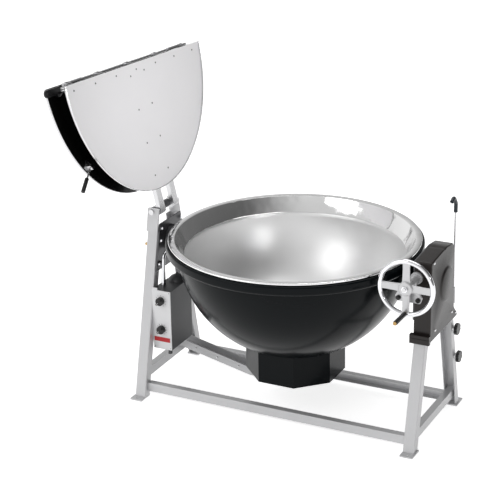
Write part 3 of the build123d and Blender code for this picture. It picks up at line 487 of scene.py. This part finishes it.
def cast_rim(build):
    rings = []
    for i in range(rim_steps):
        turn = 2 * math.pi * i / rim_steps
        ring = []
        for k in range(rim_sides):
            a = 2 * math.pi * k / rim_sides
            r = rim_orbit + rim_round * math.cos(a)
            ring.append(build.verts.new((r * math.cos(turn), rim_round * math.sin(a),
                                         r * math.sin(turn))))
        rings.append(ring)
    for i in range(rim_steps):
        a, b = rings[i], rings[(i + 1) % rim_steps]
        for k in range(rim_sides):
            n = (k + 1) % rim_sides
            build.faces.new((a[k], b[k], b[n], a[n])).material_index = rim_finish


def cast_spoke(build, quarter):
    turn = Matrix.Rotation(quarter * math.pi / 2, 4, "Y")
    previous = None
    for r, half, thick in spoke_run:
        loop = []
        for k in range(spoke_sides):
            a = 2 * math.pi * (k + 0.5) / spoke_sides
            x = half * math.copysign(abs(math.cos(a)) ** spoke_squareness, math.cos(a))
            y = thick * math.copysign(abs(math.sin(a)) ** spoke_squareness, math.sin(a))
            loop.append(build.verts.new(turn @ Vector((x, y, r))))
        if previous:
            for k in range(spoke_sides):
                n = (k + 1) % spoke_sides
                build.faces.new((previous[k], previous[n], loop[n], loop[k]))
        previous = loop


def cast_hub(build):
    loops = []
    for i in range(hub_steps):
        turn = 2 * math.pi * i / hub_steps
        loops.append([build.verts.new((r * math.cos(turn), y, r * math.sin(turn)))
                      for r, y in hub_outline])
    for i in range(hub_steps):
        a, b = loops[i], loops[(i + 1) % hub_steps]
        for k in range(len(hub_outline)):
            n = (k + 1) % len(hub_outline)
            build.faces.new((a[k], a[n], b[n], b[k]))


def make_handwheel():
    build = bmesh.new()
    cast_rim(build)
    for quarter in range(4):
        cast_spoke(build, quarter)
    cast_hub(build)
    bmesh.ops.recalc_face_normals(build, faces=build.faces)
    bmesh.ops.translate(build, verts=build.verts, vec=wheel_centre)
    mesh = bpy.data.meshes.new("wheel_casting")
    build.to_mesh(mesh)
    build.free()
    mesh.polygons.foreach_set("use_smooth", [True] * len(mesh.polygons))
    sharpen(mesh, 38)
    casting = piece("wheel_casting", mesh, "wheel", "cast_aluminium", cast, chrome)
    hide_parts("handwheel")


make_handwheel()


# --- gear cover -------------------------------------------------------------------------------
# A moulded shell of brown-black hammered plastic over the worm gear, held by a moulded pad and by
# screws into steel spacers. Its top is nearly level, and so is the dark gear plate's behind it.
top_front, top_crown, top_back = (-0.158, 0.7965), (0.060, 0.8124), (0.0844, 0.7898)
blank_front, blank_crown, blank_back = (-0.1647, 0.800), (-0.015, 0.852), (0.095, 0.796)
level_above = 0.755
merge_within = 0.000001
moulding = material("brown_moulding", (.0125, .0088, .0076), 0.0, .34, 420, .80, 9, .14,
                    coat=.08, specular=.30)
dress("cover_strap", moulding)
dress("cover_spacers", satin)


def along(y, start, middle, end):
    """Height at y of a line through three (y, z) places."""
    (ya, za), (yb, zb) = (start, middle) if y < middle[0] else (middle, end)
    return za + (zb - za) * (y - ya) / (yb - ya)


def level_top(node, name, body, slot, finish):
    """Copy of a node with its peaked top brought down to the cover's level one."""
    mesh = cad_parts[node].data.copy()
    mesh.name = name
    mesh.materials.clear()
    build = bmesh.new()
    build.from_mesh(mesh)
    bmesh.ops.remove_doubles(build, verts=build.verts, dist=merge_within)
    for vert in build.verts:
        if vert.co.z > level_above:
            wanted = along(vert.co.y, top_front, top_crown, top_back) - level_above
            found = along(vert.co.y, blank_front, blank_crown, blank_back) - level_above
            vert.co.z = level_above + (vert.co.z - level_above) * wanted / found
    build.to_mesh(mesh)
    build.free()
    mesh.polygons.foreach_set("use_smooth", [True] * len(mesh.polygons))
    sharpen(mesh, 30)
    made = piece(name, mesh, body, slot, finish)
    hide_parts(node)


def build_screw_group():
    """One low tapered screw head on every point of a carrier, all turned the same way."""
    head_sides, head_taper = 20, 0.7
    group = bpy.data.node_groups.new("ScrewHeads", "GeometryNodeTree")
    face = group.interface
    face.new_socket("Geometry", in_out="INPUT", socket_type="NodeSocketGeometry")
    for name, default in (("Radius", 0.004), ("Height", 0.002)):
        socket = face.new_socket(name, in_out="INPUT", socket_type="NodeSocketFloat")
        socket.default_value = default
    face.new_socket("Turn", in_out="INPUT", socket_type="NodeSocketVector")
    face.new_socket("Finish", in_out="INPUT", socket_type="NodeSocketMaterial")
    face.new_socket("Geometry", in_out="OUTPUT", socket_type="NodeSocketGeometry")
    nodes, link = group.nodes, group.links.new
    given = nodes.new("NodeGroupInput")
    out = nodes.new("NodeGroupOutput")
    head = nodes.new("GeometryNodeMeshCone")
    head.inputs["Vertices"].default_value = head_sides
    shrink = nodes.new("ShaderNodeMath")
    shrink.operation = "MULTIPLY"
    shrink.inputs[1].default_value = head_taper
    link(given.outputs["Radius"], shrink.inputs[0])
    link(shrink.outputs[0], head.inputs["Radius Top"])
    link(given.outputs["Radius"], head.inputs["Radius Bottom"])
    link(given.outputs["Height"], head.inputs["Depth"])
    place = nodes.new("GeometryNodeInstanceOnPoints")
    link(given.outputs["Geometry"], place.inputs["Points"])
    link(head.outputs["Mesh"], place.inputs["Instance"])
    link(given.outputs["Turn"], place.inputs["Rotation"])
    real = nodes.new("GeometryNodeRealizeInstances")
    link(place.outputs[0], real.inputs[0])
    paint = nodes.new("GeometryNodeSetMaterial")
    link(real.outputs[0], paint.inputs["Geometry"])
    link(given.outputs["Finish"], paint.inputs["Material"])
    link(paint.outputs[0], out.inputs[0])
    return group


screw_group = build_screw_group()


def screws(name, spots, turn, radius, height):
    """Satin screw heads on the stand, one at each spot."""
    carrier = bpy.data.meshes.new(name + "_points")
    carrier.from_pydata(spots, [], [])
    made = bpy.data.objects.new(name + "_carrier", carrier)
    scene.collection.objects.link(made)
    modifier = made.modifiers.new("heads", "NODES")
    modifier.node_group = screw_group
    values = {"Radius": radius, "Height": height, "Turn": turn, "Finish": satin}
    for item in screw_group.interface.items_tree:
        if item.in_out == "INPUT" and item.name in values:
            modifier[item.identifier] = values[item.name]
    bpy.context.view_layer.update()
    mesh = bpy.data.meshes.new_from_object(made.evaluated_get(
        bpy.context.evaluated_depsgraph_get()))
    bpy.data.objects.remove(made)
    mesh.name = name
    mesh.materials.clear()
    piece(name, mesh, "frame", "satin_steel", satin)


level_top("gear_cover", "cover_shell", "frame", "brown_moulding", moulding)
level_top("gear_head", "gear_plate", "frame", "dark_steel", dark_steel)
cover_face = 0.666
facing_right = (0, math.pi / 2, 0)
screws("cover_screws", [(cover_face, -0.138, 0.788), (cover_face, -0.112, 0.493),
                        (cover_face, 0.081, 0.497), (cover_face, 0.128, 0.477)],
       facing_right, 0.006, 0.003)


# --- control box ------------------------------------------------------------------------------
# A dark grey sheet housing beside the left legs, closed by a pale panel with three screws. The
# panel has printed ticks round two moulded knobs, and a plain red plate with no words.
panel_face = -0.171
lower_knob, upper_knob = 0.298, 0.430    # heights of the knobs' middles
dial_x, dial_radius, dial_ticks = -0.553, 0.0235, 11
first_tick, tick_step = -150, 30          # in degrees from straight up
tick_length, tick_width, tick_rise = 0.004, 0.0012, 0.0004
facing_front = (math.pi / 2, 0, 0)
housing_grey = material("housing_grey", (.075, .077, .08), .3, .42, 700, .15, 9, .12,
                        specular=.35)
panel_grey = material("panel_grey", (.82, .82, .83), .10, .38, 900, .05, 8, .05)
bare_label = material("bare_label", (.52, .015, .02), 0.0, .45, 900, .05, 30, .05)
marking = material("dial_marking", (.03, .03, .03), 0.0, .5, 900, .05, 30, .05)
pointer_white = material("pointer_white", (.8, .8, .8), 0.0, .5, 900, .05, 30, .05)
dress("control_box", housing_grey)
dress("control_panel", panel_grey)
dress("control_knob_lower control_knob_upper", black_plastic)


def flat_bars(name, bars, body, finish):
    """Thin bars on the panel's face: each is (x, z, length, width, angle, front, thickness)."""
    build = bmesh.new()
    for x, z, length, width, angle, front, thick in bars:
        made = bmesh.ops.create_cube(build, size=1)
        place = (Matrix.Translation((x, front - thick / 2, z)) @ Matrix.Rotation(angle, 4, "Y")
                 @ Matrix.Diagonal((width, thick, length, 1)))
        bmesh.ops.transform(build, matrix=place, verts=made["verts"])
    mesh = bpy.data.meshes.new(name)
    build.to_mesh(mesh)
    build.free()
    piece(name, mesh, body, "black_plastic", finish)


def make_dials():
    ticks = []
    for z in (lower_knob, upper_knob):
        for i in range(dial_ticks):
            turn = math.radians(first_tick + tick_step * i)
            ticks.append((dial_x + dial_radius * math.sin(turn),
                          z + dial_radius * math.cos(turn), tick_length, tick_width, turn,
                          panel_face, tick_rise))
    flat_bars("dial_ticks", ticks, "frame", marking)
    for z, body in ((lower_knob, "knob_lower"), (upper_knob, "knob_upper")):
        pointer = (-0.5612, z - 0.0082, 0.014, 0.0016, math.radians(45), -0.1942, 0.0005)
        flat_bars("pointer_line_" + body, [pointer], body, pointer_white)
    red_plate = (-0.5520, 0.251, 0.020, 0.076, 0, -0.1725, 0.0006)
    flat_bars("plain_plate", [red_plate], "frame", bare_label)


make_dials()
screws("panel_screws", [(-0.588, panel_face, 0.212), (-0.514, panel_face, 0.212),
                        (-0.514, panel_face, 0.469)], facing_front, 0.003, 0.0016)


# --- services ---------------------------------------------------------------------------------
# A painted open channel with three screws leads from the left side rail to the casing under the
# bowl. A bright pipe and a thin black conduit rise to the left bearing, beside a brass fitting.
dress("service_channel", grey_paint)
dress("steam_pipe", chrome)
dress("conduit", black_plastic)
dress("brass_fitting", brass)
screws("channel_screws", [(-0.300, 0.050, 0.078), (-0.405, 0.050, 0.100),
                          (-0.510, 0.050, 0.124)], facing_front, 0.005, 0.003)


# --- valves and upright rod -------------------------------------------------------------------
# Two steel stop valves with lobed black knobs stand on the rear right leg. A painted socket above
# them holds a thin steel rod with a bent blue-grey plastic grip moulded on its top.
grey_plastic = material("grey_plastic", (.020, .028, .036), 0.0, .35, 900, .2, 20, .15,
                        specular=.4)
dress("valve_bodies hook_rod", satin)
dress("valve_knob_lower valve_knob_upper", black_plastic)
dress("rod_socket", grey_paint)
dress("hook_grip", grey_plastic)


# --- floor, lights and camera -----------------------------------------------------------------
# A pale floor under soft studio light, brighter from the front and left, with the camera high in
# front and to the right.
floor_reach = 30
pale_floor = material("pale_floor", (.90, .90, .90), 0.0, .9, 20, 0.0, 2, .01, specular=0.1)
floor_mesh = bpy.data.meshes.new("floor")
floor_mesh.from_pydata([(-floor_reach, -floor_reach, 0), (floor_reach, -floor_reach, 0),
                        (floor_reach, floor_reach, 0), (-floor_reach, floor_reach, 0)], [],
                       [(0, 1, 2, 3)])
floor_mesh.materials.append(pale_floor)
floor = bpy.data.objects.new("floor", floor_mesh)
scene.collection.objects.link(floor)


def seen_directly(nodes, link):
    """One where a ray comes from the camera, a reflection or glass, and nought elsewhere."""
    path = nodes.new("ShaderNodeLightPath")
    seen = path.outputs["Is Camera Ray"]
    for ray in ("Is Glossy Ray", "Is Transmission Ray"):
        either = nodes.new("ShaderNodeMath")
        either.operation = "MAXIMUM"
        link(seen, either.inputs[0])
        link(path.outputs[ray], either.inputs[1])
        seen = either.outputs[0]
    return seen


def whiten_floor(lift):
    """Lift the floor to white where it is seen, so that it keeps only a faint shadow."""
    nodes, link = pale_floor.node_tree.nodes, pale_floor.node_tree.links.new
    glow = nodes.new("ShaderNodeEmission")
    share = nodes.new("ShaderNodeMath")
    share.operation = "MULTIPLY"
    share.inputs[1].default_value = lift
    link(seen_directly(nodes, link), share.inputs[0])
    link(share.outputs[0], glow.inputs["Strength"])
    both = nodes.new("ShaderNodeAddShader")
    link(nodes["Principled BSDF"].outputs[0], both.inputs[0])
    link(glow.outputs[0], both.inputs[1])
    link(both.outputs[0], nodes["Material Output"].inputs["Surface"])


def light_studio(bright, dim, ceiling):
    """World that is bright to the front and left, dim to the right, and greyer overhead."""
    world = bpy.data.worlds.new("studio")
    scene.world = world
    world.use_nodes = True
    nodes, link = world.node_tree.nodes, world.node_tree.links.new
    direction = nodes.new("ShaderNodeTexCoord")

    def fade(towards, start, end, low, high):
        aim = nodes.new("ShaderNodeVectorMath")
        aim.operation = "DOT_PRODUCT"
        aim.inputs[1].default_value = towards
        link(direction.outputs["Generated"], aim.inputs[0])
        change = nodes.new("ShaderNodeMapRange")
        change.interpolation_type = "SMOOTHSTEP"
        for socket, value in (("From Min", start), ("From Max", end), ("To Min", low),
                              ("To Max", high)):
            change.inputs[socket].default_value = value
        link(aim.outputs["Value"], change.inputs["Value"])
        return change.outputs["Result"]

    sides = fade((-0.86, -0.51, 0), -0.70, 0.30, dim, bright)
    height = fade((0, 0, 1), 0.10, 0.80, 1.0, ceiling)
    both = nodes.new("ShaderNodeMath")
    both.operation = "MULTIPLY"
    link(sides, both.inputs[0])
    link(height, both.inputs[1])
    link(both.outputs[0], nodes["Background"].inputs["Strength"])
    nodes["Background"].inputs["Color"].default_value = (1, 1, 1, 1)


def area_light(name, place, target, width, height, power, spread=180):
    data = bpy.data.lights.new(name, "AREA")
    data.spread = math.radians(spread)
    data.shape = "RECTANGLE"
    data.size, data.size_y, data.energy = width, height, power
    made = bpy.data.objects.new(name, data)
    made.location = place
    made.rotation_euler = (Vector(target) - Vector(place)).to_track_quat("-Z", "Y").to_euler()
    scene.collection.objects.link(made)


whiten_floor(lift=0.72)
light_studio(bright=0.92, dim=0.16, ceiling=0.72)
area_light("key", (-2.6, -4.0, 3.8), (0, 0, 0.6), 3.6, 3.0, 52)
area_light("top", (0.3, 0.9, 4.2), (0, 0, 0.6), 3.2, 2.4, 48)
area_light("lid_fill", (2.6, -1.6, 1.9), (-0.75, 0, 1.25), 0.8, 0.8, 1.5, 26)

camera_place = (2.783, -5.949, 3.249)
yaw, pitch, roll = math.radians(26.70), math.radians(21.27), math.radians(-0.965)
camera_data = bpy.data.cameras.new("camera")
camera_data.sensor_width = 36
camera_data.lens = 121.98
camera_data.clip_end = 100
camera = bpy.data.objects.new("camera", camera_data)
forward = Vector((-math.sin(yaw) * math.cos(pitch), math.cos(yaw) * math.cos(pitch),
                  -math.sin(pitch)))
right = Vector((math.cos(yaw), math.sin(yaw), 0))
up = right.cross(forward)
tilted_right = right * math.cos(roll) + up * math.sin(roll)
tilted_up = up * math.cos(roll) - right * math.sin(roll)
camera.matrix_world = Matrix.Translation(camera_place) @ Matrix(
    (tilted_right, tilted_up, -forward)).transposed().to_4x4()
scene.collection.objects.link(camera)
scene.camera = camera
scene.view_settings.view_transform = "Standard"

bpy.context.view_layer.update()
